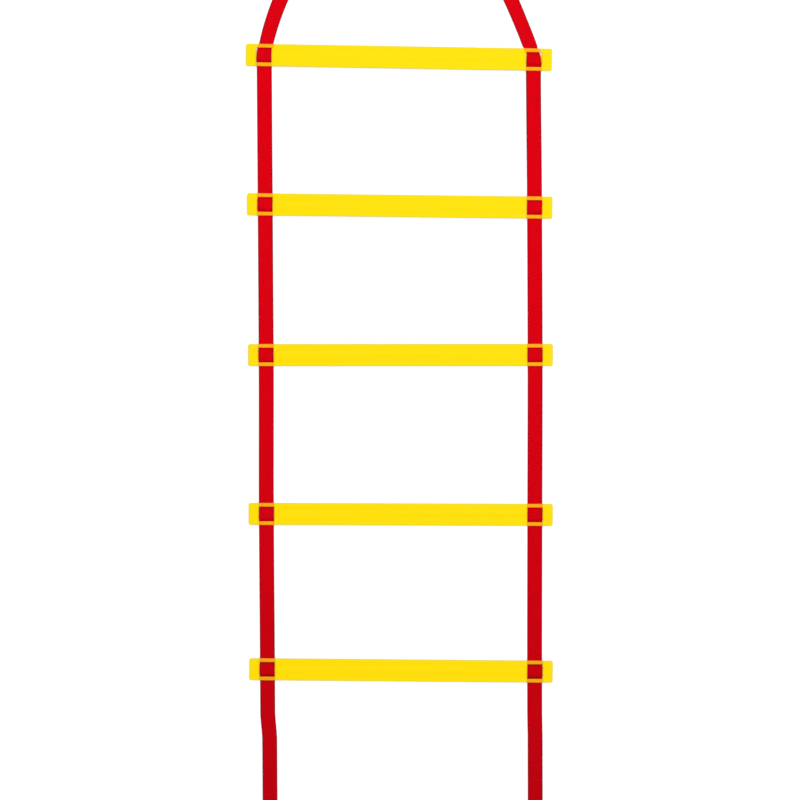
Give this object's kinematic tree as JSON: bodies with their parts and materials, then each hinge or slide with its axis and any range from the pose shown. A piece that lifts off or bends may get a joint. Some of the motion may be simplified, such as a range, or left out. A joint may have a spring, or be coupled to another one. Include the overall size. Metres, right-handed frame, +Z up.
{
  "type": "agility ladder",
  "caption": "Flat training ladder: slotted plastic rungs woven on two webbing side straps that meet in a sewn loop at each end.",
  "frame": {"origin": "middle of the laid-out ladder, on the surface that it lies on", "axes": "+X along the rungs to the right, +Y along the straps towards the first rung, +Z up off the floor"},
  "size_m": [0.4204, 1.613, 0.0057],
  "materials": {
    "rung_plastic": "smooth moulded, slightly translucent yellow",
    "webbing": "woven polypropylene webbing, red"
  },
  "bodies": {
    "rung_1": {"rung_1": "rung_plastic"},
    "rung_2": {"rung_2": "rung_plastic"},
    "rung_3": {"rung_3": "rung_plastic"},
    "rung_4": {"rung_4": "rung_plastic"},
    "rung_5": {"rung_5": "rung_plastic"},
    "panel_1": {"strap_left_1": "webbing", "strap_right_1": "webbing", "fold_left_top": "webbing", "fold_right_top": "webbing"},
    "panel_2": {"strap_left_2": "webbing", "strap_right_2": "webbing", "fold_left_12": "webbing", "fold_right_12": "webbing"},
    "panel_3": {"strap_left_3": "webbing", "strap_right_3": "webbing", "fold_left_23": "webbing", "fold_right_23": "webbing"},
    "panel_4": {"strap_left_4": "webbing", "strap_right_4": "webbing", "fold_left_34": "webbing", "fold_right_34": "webbing"},
    "panel_5": {"strap_left_5": "webbing", "strap_right_5": "webbing", "fold_left_45": "webbing", "fold_right_45": "webbing", "fold_left_bottom": "webbing", "fold_right_bottom": "webbing"},
    "loop_top": {"loop_left_top": "webbing", "loop_right_top": "webbing"},
    "loop_bottom": {"tail_left": "webbing", "tail_right": "webbing", "loop_left_bottom": "webbing", "loop_right_bottom": "webbing"}
  },
  "joints": [
    {"name": "fold_45", "type": "hinge", "parent": "panel_5", "child": "panel_4", "pos_m": [0, -0.23101, 0.00065], "axis": [1, 0, 0], "range_deg": [0, 170], "deforming": ["fold_left_45", "fold_right_45"]},
    {"name": "fold_34", "type": "hinge", "parent": "panel_4", "child": "panel_3", "pos_m": [0, -0.01246, 0.00065], "axis": [1, 0, 0], "range_deg": [-170, 0], "deforming": ["fold_left_34", "fold_right_34"]},
    {"name": "fold_23", "type": "hinge", "parent": "panel_3", "child": "panel_2", "pos_m": [0, 0.20029, 0.00065], "axis": [1, 0, 0], "range_deg": [0, 170], "deforming": ["fold_left_23", "fold_right_23"]},
    {"name": "fold_12", "type": "hinge", "parent": "panel_2", "child": "panel_1", "pos_m": [0, 0.40469, 0.00065], "axis": [1, 0, 0], "range_deg": [-170, 0], "deforming": ["fold_left_12", "fold_right_12"]},
    {"name": "top_loop_lift", "type": "hinge", "parent": "panel_1", "child": "loop_top", "pos_m": [0, 0.63654, 0.00065], "axis": [1, 0, 0], "range_deg": [0, 170], "deforming": ["fold_left_top", "fold_right_top"]},
    {"name": "bottom_loop_lift", "type": "hinge", "parent": "panel_5", "child": "loop_bottom", "pos_m": [0, -0.46936, 0.00065], "axis": [-1, 0, 0], "range_deg": [0, 90], "deforming": ["fold_left_bottom", "fold_right_bottom"]},
    {"name": "rung_1_slide", "type": "slide", "parent": "panel_1", "child": "rung_1", "axis": [0, 1, 0], "range_m": [-0.04, 0.04], "deforming": ["strap_left_1", "strap_right_1"]},
    {"name": "rung_2_slide", "type": "slide", "parent": "panel_2", "child": "rung_2", "axis": [0, 1, 0], "range_m": [-0.04, 0.04], "deforming": ["strap_left_2", "strap_right_2"]},
    {"name": "rung_3_slide", "type": "slide", "parent": "panel_3", "child": "rung_3", "axis": [0, 1, 0], "range_m": [-0.04, 0.04], "deforming": ["strap_left_3", "strap_right_3"]},
    {"name": "rung_4_slide", "type": "slide", "parent": "panel_4", "child": "rung_4", "axis": [0, 1, 0], "range_m": [-0.04, 0.04], "deforming": ["strap_left_4", "strap_right_4"]},
    {"name": "rung_5_slide", "type": "slide", "parent": "panel_5", "child": "rung_5", "axis": [0, 1, 0], "range_m": [-0.04, 0.04], "deforming": ["strap_left_5", "strap_right_5"]}
  ],
  "couplings": [
    {"joint": "fold_34", "follows": "fold_45", "ratio": -1},
    {"joint": "fold_23", "follows": "fold_45", "ratio": 1},
    {"joint": "fold_12", "follows": "fold_45", "ratio": -1}
  ]
}
